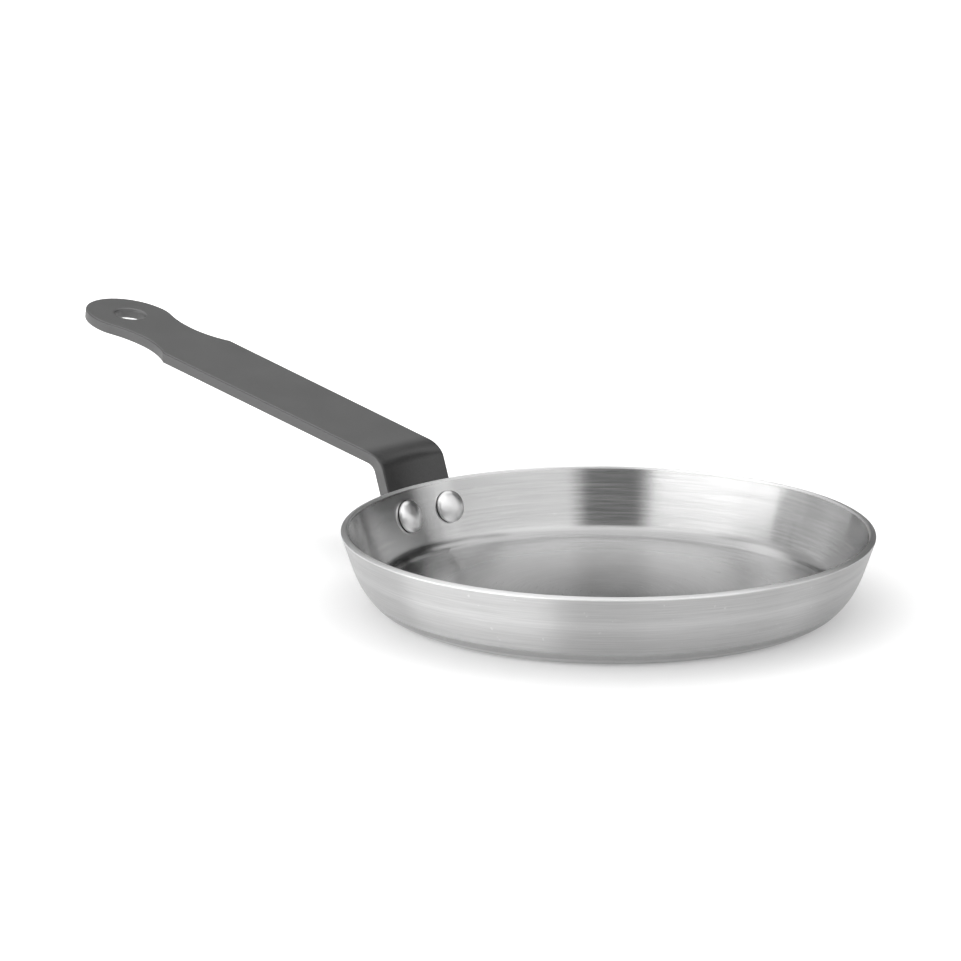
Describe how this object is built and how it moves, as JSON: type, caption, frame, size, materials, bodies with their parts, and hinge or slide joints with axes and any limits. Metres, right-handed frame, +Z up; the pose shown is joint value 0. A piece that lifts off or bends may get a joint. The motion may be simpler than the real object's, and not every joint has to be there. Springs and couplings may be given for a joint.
{
  "type": "crepe pan",
  "caption": "Shallow round crepe pan of brushed steel with a low flared wall, and a flat black coated steel handle, bent up from the wall, riveted on, with a hanging hole in its rounded end.",
  "frame": {"origin": "centre of the dish's flat underside, on the surface that the pan stands on", "axes": "+Z up along the dish's axis, +X from the dish towards the handle's end, +Y across; the pan mirrors onto itself across the plane Y = 0"},
  "size_m": [0.3952, 0.2, 0.0792],
  "materials": {
    "dish": "brushed round the dish, satin",
    "handle": "thin black coat, satin",
    "rivets": "bright, lightly polished"
  },
  "bodies": {
    "root": {"pan_body": "dish", "handle": "handle", "rivet_left": "rivets", "rivet_right": "rivets"}
  },
  "joints": []
}
